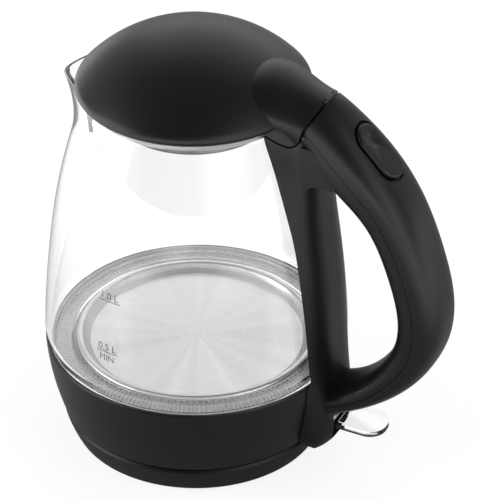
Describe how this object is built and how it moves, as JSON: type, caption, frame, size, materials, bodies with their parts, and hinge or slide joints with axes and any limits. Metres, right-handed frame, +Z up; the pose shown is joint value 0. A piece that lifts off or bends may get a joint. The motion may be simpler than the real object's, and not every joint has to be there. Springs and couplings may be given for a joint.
{
  "type": "electric kettle",
  "caption": "Cordless electric kettle with a clear glass jug, dark grey plastic lid and handle, steel heating plate and a lift-off power base.",
  "frame": {"origin": "centre of the ring foot of the power base, on the surface it stands on", "axes": "+Z up the axis of the jug, +X towards the handle, -X towards the spout, the part is symmetric across Y except for the cord inlet"},
  "size_m": [0.2156, 0.1548, 0.2287],
  "materials": {
    "charcoal_plastic": "fine moulded grain, satin",
    "button_plastic": "smooth satin",
    "socket_plastic": "plain moulded",
    "foot_rubber": "matte",
    "seal_silicone": "translucent silicone",
    "brushed_plate": "turned and brushed",
    "cast_aluminium": "as cast",
    "fastener_steel": "zinc plated",
    "contact_brass": "bright",
    "clear_plastic": "clear moulded plastic",
    "jug_glass": "clear borosilicate glass"
  },
  "bodies": {
    "power_base": {"base_cover": "charcoal_plastic", "base_bottom": "charcoal_plastic", "foot_ring": "foot_rubber", "base_screws": "fastener_steel", "cord_inlet": "foot_rubber", "base_connector": "socket_plastic", "contact_rings": "contact_brass"},
    "base_pin": {"earth_pin": "contact_brass"},
    "kettle": {"base_housing": "charcoal_plastic", "bottom_cover": "charcoal_plastic", "bottom_screws": "fastener_steel", "kettle_socket": "socket_plastic", "control_body": "socket_plastic", "socket_contacts": "contact_brass", "heating_plate": "brushed_plate", "heat_spreader": "cast_aluminium", "heating_element": "cast_aluminium", "plate_seal": "seal_silicone", "light_ring": "clear_plastic", "led_board": "socket_plastic", "leds": "clear_plastic", "glass_seal": "seal_silicone", "glass_jug": "jug_glass", "filter_frame": "charcoal_plastic", "filter_mesh": "brushed_plate", "handle_inner": "charcoal_plastic", "handle_outer": "charcoal_plastic", "handle_screws": "fastener_steel", "lid_hinge_pin": "fastener_steel", "steam_tube": "seal_silicone", "steam_switch": "socket_plastic", "lever_pin": "fastener_steel"},
    "lid": {"lid_cover": "charcoal_plastic", "lid_liner": "charcoal_plastic", "lid_seal": "seal_silicone", "lid_steel_cap": "brushed_plate"},
    "button": {"release_button": "button_plastic", "button_spring": "fastener_steel"},
    "latch": {"latch_slider": "socket_plastic"},
    "lever": {"switch_lever": "clear_plastic"}
  },
  "joints": [
    {"name": "base_swivel", "type": "hinge", "parent": "power_base", "child": "base_pin", "pos_m": [0, 0, 0.015], "axis": [0, 0, 1], "continuous": true},
    {"name": "lift_off", "type": "slide", "parent": "base_pin", "child": "kettle", "axis": [0, 0, 1], "range_m": [0, 0.06]},
    {"name": "lid_hinge", "type": "hinge", "parent": "kettle", "child": "lid", "pos_m": [0.0732, 0, 0.2096], "axis": [0, 1, 0], "range_deg": [0, 70]},
    {"name": "button_press", "type": "slide", "parent": "kettle", "child": "button", "axis": [-0.7022, 0, -0.712], "range_m": [0, 0.0025], "stiffness_N_per_m": 400},
    {"name": "latch_draw", "type": "slide", "parent": "kettle", "child": "latch", "axis": [0.712, 0, -0.7022], "range_m": [0, 0.003]},
    {"name": "lever_tilt", "type": "hinge", "parent": "kettle", "child": "lever", "pos_m": [0.0795, 0, 0.0275], "axis": [0, 1, 0], "range_deg": [0, 12]}
  ],
  "couplings": [
    {"joint": "latch_draw", "follows": "button_press", "ratio": 1.2}
  ]
}
